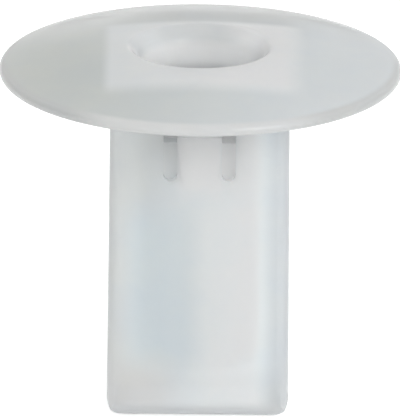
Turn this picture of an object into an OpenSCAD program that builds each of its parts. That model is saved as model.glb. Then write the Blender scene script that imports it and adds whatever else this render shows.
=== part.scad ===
// Expansion nut: a one-piece nylon insert that snaps into a square panel hole
// and takes a self-tapping screw. Millimetres. The screw axis is Z, the origin
// is where that axis meets the plane in which the flange sits on the panel,
// +Z points out of the screw hole and -Y is the face with the front tongue.

/* [Flange] */
// Outer diameter of the round flange
flange_d = 18; // [15:0.5:24]
// Thickness of the flange at its rounded edge
flange_edge_t = 0.5; // [0.4:0.05:0.7]
// Height of the domed crown above the panel
flange_crown = 1.5; // [1.4:0.05:2]
// Depth of the shallow hollow under the flange, on the screw axis
flange_hollow = 0.2; // [0.1:0.05:0.4]
// Width of the flat ring that bears on the panel
seat_land_w = 0.7; // [0.5:0.05:1.2]

/* [Shank] */
// Width across the flats where the shank leaves the flange
shank_w_neck = 8.0; // [7.6:0.05:8.6]
// Width across the flats at the tip
shank_w_tip = 8.15; // [7.6:0.05:8.6]
// Length of the shank below the panel seat
shank_len = 15.0; // [13:0.1:20]
// Radius of the four long edges
shank_edge_r = 0.6; // [0.3:0.05:1]
// Radius where the flats turn under the closed tip
shank_tip_r = 0.95; // [0.5:0.05:1.5]

/* [Screw hole] */
// Diameter of the blind hole that the screw cuts into
bore_d = 5.3; // [4.6:0.1:5.6]
// Thickness of plastic left under the hole
tip_wall = 2; // [1.2:0.1:3]
// Diameter of the countersink at the mouth of the hole
mouth_d = 6.4; // [5.8:0.1:7.4]
// Depth of the countersink
mouth_depth = 0.6; // [0.3:0.05:0.7]
// Radius between the wall and the floor of the hole
bore_floor_r = 0.6; // [0.3:0.05:1]

/* [Snap tongues] */
// Width of each tongue
tongue_w = 2; // [1.6:0.05:2.4]
// Width of the slots beside and above each tongue
slot_w = 0.6; // [0.5:0.05:0.7]
// Distance from the panel seat down to the slots
slot_start = 0.65; // [0.5:0.05:0.8]
// Distance from the panel seat down to the end of the open slots
window_end = 2.0; // [1.9:0.05:3]
// Distance from the panel seat down to the end of the grooves below them
groove_end = 3.7; // [3.5:0.05:6]
// Depth of those grooves
groove_depth = 0.3; // [0.2:0.05:1]
// How far the catch stands out from the flat
catch_out = 0.25; // [0.2:0.05:0.6]
// Length of the catch's steep upper face
catch_lead = 0.35; // [0.2:0.05:0.5]
// Distance from the panel seat down to the foot of the catch
catch_foot = 4.8; // [4.2:0.1:7]
// Width of the catch at its foot
catch_foot_w = 1.3; // [0.8:0.05:1.6]

/* [Hidden] */
$fn = 96;

// Straight pieces in a quarter turn of a rounded outline
arc_steps = 10;
// Spare length that a cutter or a joined block runs past a surface
spare = 1;

flange_r = flange_d / 2;
edge_r = flange_edge_t / 2;
bore_r = bore_d / 2;
tongue_top = -(slot_start + slot_w);
slot_pitch = tongue_w + slot_w;
neck_half = shank_w_neck / 2;
tip_half = shank_w_tip / 2;
shank_widest = max(shank_w_neck, shank_w_tip);
shank_lean = atan((tip_half - neck_half) / (shank_len - shank_tip_r));

// The crown is one arc that runs on smoothly into the round of the edge.
edge_x = flange_r - edge_r;
crown_rise = flange_crown - flange_edge_t;
crown_r = (pow(edge_x, 2) + pow(crown_rise + edge_r, 2) - pow(edge_r, 2)) / (2 * crown_rise);
crown_z = flange_crown - crown_r;
crown_angle = asin(edge_x / (crown_r - edge_r));

// The hollow is one arc from the seat's inner edge up to the screw axis.
land_r = flange_r - seat_land_w;
hollow_r = (pow(land_r, 2) + pow(flange_hollow, 2)) / (2 * flange_hollow);
hollow_angle = asin(land_r / hollow_r);

// Level of the crown where the countersink starts
mouth_r = mouth_d / 2;
mouth_z = crown_z + sqrt(pow(crown_r, 2) - pow(mouth_r, 2));
bore_floor = tip_wall - shank_len;

// Level inside the flange's solid where the shank's flats end
root_top = flange_hollow + 0.25;
// How far the rounds of the long edges stand out, so that they always cross the flats
edge_proud = 0.001;

// Points on a circle about c, from angle a0 to a1 in n pieces.
function arc(c, r, a0, a1, n = arc_steps) =
    [for (i = [0 : n]) c + r * [cos(a0 + (a1 - a0) * i / n), sin(a0 + (a1 - a0) * i / n)]];

// Half of the flange's section: seat, hollow, crown and the round of the edge.
module flange() {
    section = concat(
        arc([0, flange_hollow - hollow_r], hollow_r, 90, 90 - hollow_angle, 2 * arc_steps),
        arc([edge_x, edge_r], edge_r, -90, 90 - crown_angle),
        arc([0, crown_z], crown_r, 90 - crown_angle, 90, 2 * arc_steps)
    );
    rotate_extrude() polygon(section);
}

// Side view of the shank: two slightly spreading flats and a rounded tip.
module shank_profile() {
    foot = [tip_half - shank_tip_r, shank_tip_r - shank_len];
    right = arc(foot, shank_tip_r, -90, shank_lean);
    left = [for (i = [len(right) - 1 : -1 : 0]) [-right[i].x, right[i].y]];
    root_half = neck_half - root_top * tan(shank_lean);
    polygon(concat(right, [[root_half, root_top], [-root_half, root_top]], left));
}

// What is cut away along one long edge to round it, leaning with the flats.
module long_edge() {
    centre = neck_half - shank_edge_r + edge_proud;
    past = shank_edge_r + spare;
    tall = shank_len + root_top + 2 * spare;
    translate([centre, centre, 0]) rotate([shank_lean, -shank_lean, 0]) translate([0, 0, -shank_len - spare])
        difference() {
            cube([past, past, tall]);
            translate([0, 0, -spare]) cylinder(r = shank_edge_r, h = tall + 2 * spare);
        }
}

module shank() {
    across = shank_widest + spare;
    difference() {
        intersection() {
            rotate([90, 0, 0]) linear_extrude(across, center = true) shank_profile();
            rotate([90, 0, 90]) linear_extrude(across, center = true) shank_profile();
        }
        for (turn = [0 : 90 : 270]) rotate([0, 0, turn]) long_edge();
    }
}

// Blind hole with a rounded floor and a countersunk mouth.
module bore() {
    section = concat(
        [[0, bore_floor]],
        arc([bore_r - bore_floor_r, bore_floor + bore_floor_r], bore_floor_r, -90, 0),
        [
            [bore_r, mouth_z - mouth_depth],
            [mouth_r, mouth_z],
            [mouth_r, mouth_z + spare],
            [0, mouth_z + spare]
        ]
    );
    rotate_extrude() polygon(section);
}

// Groove outline with a round lower end, from the slots' start down.
module groove_outline() {
    polygon(concat(
        [[slot_w / 2, -slot_start], [-slot_w / 2, -slot_start]],
        arc([0, slot_w / 2 - groove_end], slot_w / 2, 180, 360, 2 * arc_steps)
    ));
}

// What is cut from the front wall to free one tongue.
module tongue_slots() {
    for (side = [-1, 1]) translate([side * slot_pitch / 2, 0, 0]) {
        translate([-slot_w / 2, -shank_widest, -window_end])
            cube([slot_w, shank_widest, window_end - slot_start]);
        translate([0, groove_depth - neck_half, 0])
            rotate([90, 0, 0]) linear_extrude(groove_depth + spare) groove_outline();
    }
    translate([-slot_pitch / 2, -shank_widest, tongue_top])
        cube([slot_pitch, shank_widest, slot_w]);
}

// The wedge on the free end of the front tongue, steep above and long below.
module catch() {
    root = -(neck_half + bore_r) / 2;
    peak = -neck_half - catch_out;
    intersection() {
        rotate([90, 0, 90]) linear_extrude(tongue_w, center = true) polygon([
            [root, tongue_top],
            [-neck_half, tongue_top],
            [peak, tongue_top - catch_lead],
            [-neck_half, -catch_foot],
            [root, -catch_foot]
        ]);
        rotate([90, 0, 0]) linear_extrude(shank_widest) polygon([
            [-tongue_w / 2, tongue_top],
            [tongue_w / 2, tongue_top],
            [tongue_w / 2, -window_end],
            [catch_foot_w / 2, -catch_foot],
            [-catch_foot_w / 2, -catch_foot],
            [-tongue_w / 2, -window_end]
        ]);
    }
}

module expansion_nut() {
    color([0.85, 0.86, 0.85]) union() {
        difference() {
            union() {
                flange();
                shank();
            }
            bore();
            for (turn = [0, 180]) rotate([0, 0, turn]) tongue_slots();
        }
        for (turn = [0, 180]) rotate([0, 0, turn]) catch();
    }
}

expansion_nut();
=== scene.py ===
import math

import bmesh
import bpy
import numpy as np
from mathutils import Matrix, Vector


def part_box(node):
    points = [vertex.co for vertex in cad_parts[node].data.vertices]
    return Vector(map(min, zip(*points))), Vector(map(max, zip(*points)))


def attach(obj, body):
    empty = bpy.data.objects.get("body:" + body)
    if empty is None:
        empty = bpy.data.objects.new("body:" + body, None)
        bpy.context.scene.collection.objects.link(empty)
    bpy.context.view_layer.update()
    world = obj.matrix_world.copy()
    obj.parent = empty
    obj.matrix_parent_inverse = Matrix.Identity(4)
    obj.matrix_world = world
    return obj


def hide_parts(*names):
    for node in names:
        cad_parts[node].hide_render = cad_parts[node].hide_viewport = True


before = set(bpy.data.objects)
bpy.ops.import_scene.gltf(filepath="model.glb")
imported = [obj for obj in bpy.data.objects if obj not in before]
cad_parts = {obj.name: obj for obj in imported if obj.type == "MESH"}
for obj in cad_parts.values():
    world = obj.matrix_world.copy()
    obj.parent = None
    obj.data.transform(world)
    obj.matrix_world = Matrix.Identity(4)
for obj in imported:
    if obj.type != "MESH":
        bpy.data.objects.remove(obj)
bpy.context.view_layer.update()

# The nut: one injection moulding of natural nylon, which is milky and lets
# light through. Its surface is the frame's solid, merged into whole faces, with
# the two edges at the mouth of the screw hole rounded as a mould leaves them.
merge_distance = 1e-6
flat_angle = math.radians(0.2)
sharp_angle = math.radians(30)
# Heights, clear of every edge, at which the tall faces are cut to shade evenly
cut_levels = np.array([0.3, -0.1, -0.4, -0.95, -2.7, -4.25, -5.4, -8.0, -11.0, -13.6]) / 1000
# The lip is where the countersink meets the dome; the throat is its inner end
lip_radius = 0.00012
lip_reach = 0.0035
lip_low = 0.0009
throat_radius = 0.00030
throat_reach = 0.0028
throat_low = 0.0003

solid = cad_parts["expansion_nut"]
skin_mesh = bpy.data.meshes.new("expansion_nut_skin")
skin = bmesh.new()
skin.from_mesh(solid.data)
bmesh.ops.remove_doubles(skin, verts=skin.verts, dist=merge_distance)
bmesh.ops.dissolve_degenerate(skin, edges=skin.edges, dist=2 * merge_distance)
bmesh.ops.dissolve_limit(
    skin, angle_limit=flat_angle, verts=skin.verts, edges=skin.edges, delimit={"NORMAL"}
)
for level in cut_levels:
    everything = skin.verts[:] + skin.edges[:] + skin.faces[:]
    bmesh.ops.bisect_plane(
        skin, geom=everything, dist=merge_distance, plane_co=(0, 0, level), plane_no=(0, 0, 1)
    )
skin.normal_update()
for edge in skin.edges:
    edge.smooth = edge.calc_face_angle(0.0) < sharp_angle
skin.to_mesh(skin_mesh)
skin.free()
skin_mesh.shade_smooth()

# Each edge's middle is the mean of its two ends, and tells which edge it is
ends = np.empty(2 * len(skin_mesh.edges), dtype=np.int32)
skin_mesh.edges.foreach_get("vertices", ends)
corners = np.empty(3 * len(skin_mesh.vertices))
skin_mesh.vertices.foreach_get("co", corners)
middle = corners.reshape(-1, 3)[ends.reshape(-1, 2)].mean(axis=1)
from_axis = np.hypot(middle[:, 0], middle[:, 1])
sharp = np.zeros(len(skin_mesh.edges), dtype=bool)
skin_mesh.attributes["sharp_edge"].data.foreach_get("value", sharp)
lip = sharp & (middle[:, 2] > lip_low) & (from_axis < lip_reach)
throat = sharp & (middle[:, 2] > throat_low) & (from_axis < throat_reach)
radius_wanted = np.where(throat, throat_radius, np.where(lip, lip_radius, 0.0))
share = skin_mesh.attributes.new("bevel_weight_edge", "FLOAT", "EDGE")
share.data.foreach_set("value", (radius_wanted / throat_radius).astype(np.float32))

nut = bpy.data.objects.new("expansion_nut_skin", skin_mesh)
bpy.context.scene.collection.objects.link(nut)
rounding = nut.modifiers.new("edge_rounding", "BEVEL")
rounding.width = throat_radius
rounding.segments = 4
rounding.limit_method = "WEIGHT"
rounding.use_clamp_overlap = False
evening = nut.modifiers.new("flats_kept_flat", "WEIGHTED_NORMAL")
evening.mode = "FACE_AREA"
evening.weight = 50
evening.keep_sharp = True

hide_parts("expansion_nut")
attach(nut, "root")

# Natural nylon: a milky, faintly blue-grey plastic with a thin gloss from the
# mould. Its colour holds painted light and shade: paler where it is thick or has
# the shank behind it, greyer where it is thin, darker on the left, away from the
# key light, and bluer towards the right.
nylon = bpy.data.materials.new("natural_nylon")
nylon.use_nodes = True
nodes = nylon.node_tree.nodes
links = nylon.node_tree.links
plastic = nodes["Principled BSDF"]
plastic.inputs["Transmission Weight"].default_value = 0.35
plastic.inputs["Roughness"].default_value = 0.42
plastic.inputs["Coat Weight"].default_value = 0.45
plastic.inputs["Coat Roughness"].default_value = 0.07
plastic.inputs["IOR"].default_value = 1.53
plastic.inputs["Subsurface Weight"].default_value = 1.0
plastic.inputs["Subsurface Radius"].default_value = (1.0, 1.0, 1.0)
plastic.inputs["Subsurface Scale"].default_value = 0.0025


def worked(kind, *values):
    """One arithmetic step on values that are each a socket or a plain number."""
    node = nodes.new("ShaderNodeMath")
    node.operation = kind
    for slot, value in enumerate(values):
        if isinstance(value, (int, float)):
            node.inputs[slot].default_value = value
        else:
            links.new(value, node.inputs[slot])
    return node.outputs[0]


def ramp(value, start, end):
    """A smooth step: 0 at start and 1 at end, both in millimetres."""
    node = nodes.new("ShaderNodeMapRange")
    node.interpolation_type = "SMOOTHSTEP"
    node.inputs["From Min"].default_value = start
    node.inputs["From Max"].default_value = end
    links.new(value, node.inputs["Value"])
    return node.outputs["Result"]


def where(*masks):
    """1 only where every mask is 1: their product."""
    product = masks[0]
    for mask in masks[1:]:
        product = worked("MULTIPLY", product, mask)
    return product


def band(value, start, end, soft):
    """1 between start and end, fading to 0 over twice soft about each of them."""
    return where(ramp(value, start - soft, start + soft), ramp(value, end + soft, end - soft))


def blend(mask, under, over):
    """Colour under where the mask is 0 and colour over where it is 1."""
    node = nodes.new("ShaderNodeMix")
    node.data_type = "RGBA"
    links.new(mask, node.inputs["Factor"])
    for slot, colour in ((6, under), (7, over)):
        if isinstance(colour, tuple):
            node.inputs[slot].default_value = (*colour, 1)
        else:
            links.new(colour, node.inputs[slot])
    return node.outputs[2]


def tinted(colour, tint):
    """One colour multiplied by another."""
    node = nodes.new("ShaderNodeMix")
    node.data_type = "RGBA"
    node.blend_type = "MULTIPLY"
    node.inputs["Factor"].default_value = 1.0
    links.new(colour, node.inputs[6])
    links.new(tint, node.inputs[7])
    return node.outputs[2]


def noise(scale, detail):
    """Noise from 0 to 1 whose patches are about 1 / scale millimetres across."""
    node = nodes.new("ShaderNodeTexNoise")
    node.inputs["Scale"].default_value = scale
    node.inputs["Detail"].default_value = detail
    links.new(in_mm.outputs[0], node.inputs["Vector"])
    return node.outputs["Fac"]


point = nodes.new("ShaderNodeTexCoord")
in_mm = nodes.new("ShaderNodeVectorMath")
in_mm.operation = "SCALE"
in_mm.inputs["Scale"].default_value = 1000.0
links.new(point.outputs["Object"], in_mm.inputs[0])
axes = nodes.new("ShaderNodeSeparateXYZ")
links.new(in_mm.outputs[0], axes.inputs[0])
x, y, z = axes.outputs
away_x = worked("ABSOLUTE", x)
away_y = worked("ABSOLUTE", y)
radius = worked("SQRT", worked("ADD", worked("MULTIPLY", x, x), worked("MULTIPLY", y, y)))

# Where things are on the nut, in millimetres from the screw axis and the seat
flange_r = 9.0
shank_half = 4.0
mouth_r = 3.2
tongue_half = 1.0
slot_far = 1.6
slots_top = -0.65
windows_end = -2.0
slots_end = -3.7
hollow_end = -13.0

# The flange's thin plastic, with painted shade: greyer and yellower on the left,
# away from the key light, bluer on the right, darker towards the rear, and
# greyest along its rear edge, painted dark there to offset the room's gloss
# that a low view catches.
left_grey = (0.60, 0.625, 0.597)
right_grey = (0.73, 0.772, 0.79)
rear_left = (0.765, 0.783, 0.765)
rear_middle = (0.555, 0.575, 0.57)
rear_right = (0.715, 0.75, 0.755)
rear_edge_painted_shade = (0.40, 0.41, 0.40)
along_rear_edge = where(
    ramp(radius, flange_r - 2.4, flange_r - 0.3), ramp(away_x, flange_r - 0.4, flange_r - 6.0)
)
rear = blend(ramp(x, -5.0, -1.0), rear_left, rear_middle)
rear = blend(ramp(x, 3.0, 6.0), rear, rear_right)
rear = blend(along_rear_edge, rear, rear_edge_painted_shade)
thin = blend(ramp(x, -8.5, 5.5), left_grey, right_grey)
thin = blend(ramp(y, 0.5, 6.0), thin, rear)

# Painted light: the dome is painted pale over the shank's square end, as the shank shows through it
shank_glow_left = (0.83, 0.855, 0.855)
shank_glow_right = (0.965, 0.985, 0.99)
over_shank = where(
    ramp(x, -shank_half - 0.5, -shank_half + 0.1),
    ramp(x, shank_half + 0.9, shank_half - 0.5),
    ramp(y, -shank_half - 2.0, -shank_half - 0.4),
    ramp(y, shank_half, shank_half - 1.0),
    ramp(z, 0.3, 0.5),
)
flange_tone = blend(over_shank, thin, blend(ramp(x, -5.0, 5.0), shank_glow_left, shank_glow_right))

# Painted light and shade on the round of the flange's front edge: lit pale in the middle and shaded
# grey at the sides
rim_left = (0.84, 0.85, 0.83)
rim_right = (0.76, 0.775, 0.77)
rim_sides = (0.58, 0.59, 0.58)
rim = where(ramp(radius, flange_r - 0.55, flange_r - 0.2), ramp(z, 0.7, 0.45), ramp(y, 2.5, -1.0))
rim_light_and_shade = blend(ramp(x, -5.0, 5.0), rim_left, rim_right)
rim_light_and_shade = blend(ramp(away_x, 3.5, 6.0), rim_light_and_shade, rim_sides)
flange_tone = blend(rim, flange_tone, rim_light_and_shade)

# The shank, with painted light and shade: darker on the left, away from the key
# light, where the hollow is painted as a cooler shade through its wall; a darker
# right edge; paler under the flange and on the tongues, against the flange's
# shadow; paler at the closed tip and darker at its lower left.
wall_left = (0.755, 0.775, 0.77)
wall_right = (0.925, 0.98, 1.0)
wall_over_hollow = (0.752, 0.815, 0.842)
wall_right_edge = (0.665, 0.695, 0.715)
wall_under_flange = (0.86, 0.89, 0.89)
wall_lower_left = (0.775, 0.775, 0.765)
wall_tip = (0.86, 0.89, 0.91)
tongue_tone = (0.985, 0.99, 0.995)
left_of_hollow = where(band(x, -3.2, -0.2, 0.7), band(z, -12.6, -5.2, 1.2))
under_flange = where(ramp(z, -3.5, -1.0), ramp(x, 2.0, -1.0))
lower_left = where(ramp(x, 0.0, -2.5), ramp(z, -11.5, -13.5))
tongue = where(
    ramp(away_x, tongue_half + 0.3, tongue_half - 0.3),
    ramp(away_y, shank_half - 0.4, shank_half - 0.1),
    band(z, -4.0, -1.0, 1.0),
)
shank_tone = blend(ramp(x, -3.8, 2.2), wall_left, wall_right)
shank_tone = blend(left_of_hollow, shank_tone, wall_over_hollow)
shank_tone = blend(ramp(x, 2.4, 3.8), shank_tone, wall_right_edge)
shank_tone = blend(under_flange, shank_tone, wall_under_flange)
shank_tone = blend(lower_left, shank_tone, wall_lower_left)
shank_tone = blend(ramp(z, -14.0, -14.8), shank_tone, wall_tip)
shank_tone = blend(tongue, shank_tone, tongue_tone)

# The slots: painted pale, as light caught between their walls again and again
# would make them, apart from the top of the left one, painted nearly black as
# the shade of the dark hollow it shows.
slot_left = (0.88, 0.90, 0.90)
slot_right = (0.99, 0.99, 0.99)
slot_top_painted_shade = (0.10, 0.10, 0.11)
slot_walls = where(
    band(away_x, tongue_half - 0.1, slot_far + 0.1, 0.05),
    ramp(away_y, shank_half - 0.03, shank_half - 0.13),
    band(z, slots_end - 0.1, slots_top + 0.05, 0.05),
)
slot_mouth = where(
    band(x, -slot_far - 0.1, -tongue_half + 0.1, 0.15),
    ramp(away_y, shank_half - 0.35, shank_half - 0.45),
    band(z, windows_end + 0.05, slots_top + 0.05, 0.1),
)
shank_tone = blend(slot_walls, shank_tone, blend(ramp(x, -0.2, 0.2), slot_left, slot_right))
shank_tone = blend(slot_mouth, shank_tone, slot_top_painted_shade)

# The hollow: painted pale for the same reason, and painted darker on the rear wall of its mouth,
# where the light falls on it most
hollow_tone = (0.99, 0.99, 0.99)
mouth_tone = (0.77, 0.79, 0.80)
hollow = where(ramp(radius, mouth_r + 0.15, mouth_r), ramp(z, hollow_end - 0.6, hollow_end - 0.2))
rear_of_mouth = where(ramp(z, 0.4, 0.9), ramp(x, 2.6, 0.6), ramp(y, -0.5, 0.5))
tone = blend(ramp(z, -0.05, 0.05), shank_tone, flange_tone)
tone = blend(hollow, tone, blend(rear_of_mouth, hollow_tone, mouth_tone))

# The melt never mixes quite evenly: soft clouds a few millimetres across, and
# a surface that is not quite flat
cool_cloud = (0.965, 0.975, 0.99)
warm_cloud = (1.0, 1.0, 0.99)
tone = tinted(tone, blend(ramp(noise(0.55, 3.0), 0.3, 0.7), cool_cloud, warm_cloud))
links.new(tone, plastic.inputs["Base Color"])
skin_relief = nodes.new("ShaderNodeBump")
skin_relief.inputs["Strength"].default_value = 0.25
skin_relief.inputs["Distance"].default_value = 0.00002
links.new(noise(1.6, 2.0), skin_relief.inputs["Height"])
links.new(skin_relief.outputs["Normal"], plastic.inputs["Normal"])
skin_mesh.materials.append(nylon)

# The floor: a plain sheet of white paper that the nut stands on by its closed
# tip. Only the camera, gloss and clear plastic see it lifted to white, so it
# keeps the nut's shadow and sheds no more light on the nut than paper does.
floor_reach = 3.0
paper_colour = (0.80, 0.80, 0.80, 1)
paper_lift = 0.57
floor_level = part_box("expansion_nut")[0].z
floor_mesh = bpy.data.meshes.new("floor")
floor_mesh.from_pydata(
    [
        (-floor_reach, -floor_reach, floor_level),
        (floor_reach, -floor_reach, floor_level),
        (floor_reach, floor_reach, floor_level),
        (-floor_reach, floor_reach, floor_level),
    ],
    [],
    [(0, 1, 2, 3)],
)
floor = bpy.data.objects.new("floor", floor_mesh)
bpy.context.scene.collection.objects.link(floor)

paper = bpy.data.materials.new("floor_paper")
paper.use_nodes = True
paper_nodes = paper.node_tree.nodes
paper_links = paper.node_tree.links
matt = paper_nodes["Principled BSDF"]
matt.inputs["Base Color"].default_value = paper_colour
matt.inputs["Roughness"].default_value = 1.0
matt.inputs["Specular IOR Level"].default_value = 0.0
path = paper_nodes.new("ShaderNodeLightPath")
camera_or_gloss = paper_nodes.new("ShaderNodeMath")
camera_or_gloss.operation = "MAXIMUM"
seen = paper_nodes.new("ShaderNodeMath")
seen.operation = "MAXIMUM"
lift = paper_nodes.new("ShaderNodeMath")
lift.operation = "MULTIPLY"
lift.inputs[1].default_value = paper_lift
glow = paper_nodes.new("ShaderNodeEmission")
glow.inputs["Color"].default_value = (1, 1, 1, 1)
both = paper_nodes.new("ShaderNodeAddShader")
paper_links.new(path.outputs["Is Camera Ray"], camera_or_gloss.inputs[0])
paper_links.new(path.outputs["Is Glossy Ray"], camera_or_gloss.inputs[1])
paper_links.new(camera_or_gloss.outputs[0], seen.inputs[0])
paper_links.new(path.outputs["Is Transmission Ray"], seen.inputs[1])
paper_links.new(seen.outputs[0], lift.inputs[0])
paper_links.new(lift.outputs[0], glow.inputs["Strength"])
paper_links.new(matt.outputs[0], both.inputs[0])
paper_links.new(glow.outputs[0], both.inputs[1])
paper_links.new(both.outputs[0], paper_nodes["Material Output"].inputs["Surface"])
floor_mesh.materials.append(paper)

# The camera: a long lens, a little above the flange, square to the front tongue
# and rolled by half a degree.
elevation = math.radians(18.9)
roll = math.radians(0.5)
distance = 0.45
pixels_per_metre = 22230.0
image_width = 400
sensor_width = 36.0
aim = Vector((0.00004, 0.0, -0.00635))
camera_data = bpy.data.cameras.new("camera")
camera_data.sensor_fit = "HORIZONTAL"
camera_data.sensor_width = sensor_width
camera_data.lens = sensor_width * pixels_per_metre * distance / image_width
camera_data.clip_start = 0.01
camera_data.clip_end = 20
camera = bpy.data.objects.new("camera", camera_data)
bpy.context.scene.collection.objects.link(camera)
camera.matrix_world = (
    Matrix.Translation(aim)
    @ Matrix.Rotation(math.pi / 2 - elevation, 4, "X")
    @ Matrix.Rotation(roll, 4, "Z")
    @ Matrix.Translation((0, 0, distance))
)
bpy.context.scene.camera = camera

# The light: a pale room that fills the shadows, a large soft box high on the
# right, which leaves no glare on the gloss, and a small one beside it, which
# gives the glint in the hole's mouth.
room_strength = 0.80
lit_point = Vector((0, 0, -0.005))
bpy.context.scene.view_settings.view_transform = "Standard"
world = bpy.data.worlds.new("world")
bpy.context.scene.world = world
world.use_nodes = True
room = world.node_tree.nodes["Background"]
room.inputs["Color"].default_value = (1, 1, 1, 1)
room.inputs["Strength"].default_value = room_strength


def soft_box(name, place, size, watts, in_gloss):
    """A square area light that faces the middle of the nut; in_gloss lets it show in reflections."""
    data = bpy.data.lights.new(name, "AREA")
    data.shape = "SQUARE"
    data.size = size
    data.energy = watts
    lamp = bpy.data.objects.new(name, data)
    lamp.location = place
    lamp.rotation_euler = (Vector(place) - lit_point).to_track_quat("Z", "Y").to_euler()
    lamp.visible_glossy = in_gloss
    bpy.context.scene.collection.objects.link(lamp)


soft_box("key_light", (0.38, -0.52, 0.29), 0.45, 1.45, in_gloss=False)
soft_box("glint_light", (0.27, -0.42, 0.235), 0.12, 0.40, in_gloss=True)
